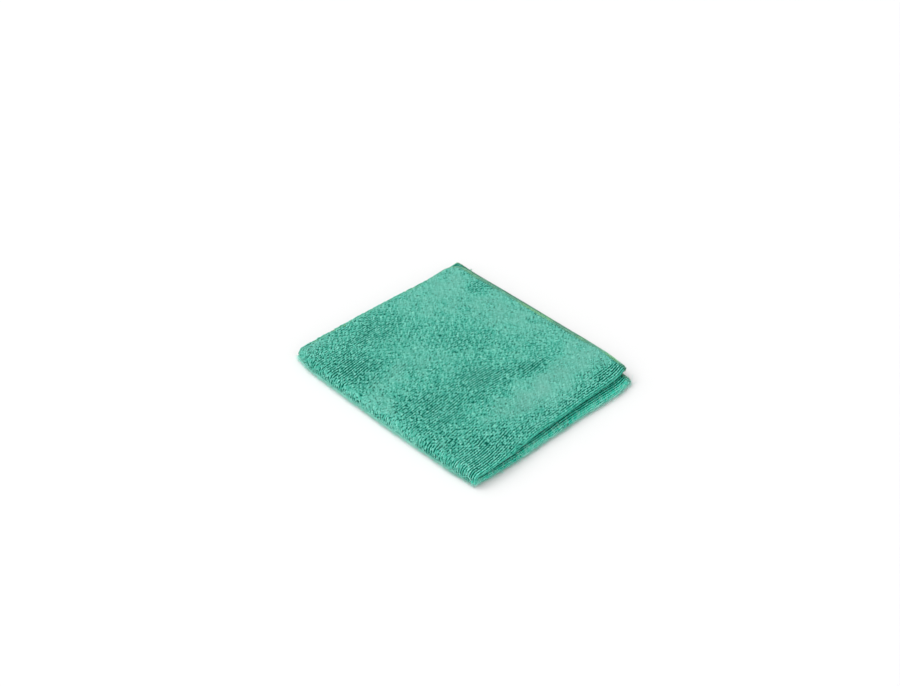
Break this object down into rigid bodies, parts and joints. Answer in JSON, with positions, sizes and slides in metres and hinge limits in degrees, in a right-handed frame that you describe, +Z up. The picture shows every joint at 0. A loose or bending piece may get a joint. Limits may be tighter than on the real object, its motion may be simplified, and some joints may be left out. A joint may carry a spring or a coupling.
{
  "type": "folded microfibre cloth",
  "caption": "Ribbed terry cleaning cloth folded into a flat layered pad, with rounded folds along two adjoining sides and overlocked hems along the others, lying flat.",
  "frame": {"origin": "centre of the outline, on the surface that the pad lies on", "axes": "+Z up through the layers; +X along the ribs, from the second fold to the hems; +Y across the ribs, from the first fold to the hems"},
  "size_m": [0.1822, 0.203, 0.0118],
  "materials": {
    "terry": "matt sea-green looped microfibre terry with fine ribs"
  },
  "bodies": {
    "root": {"cloth": "terry"}
  },
  "joints": []
}
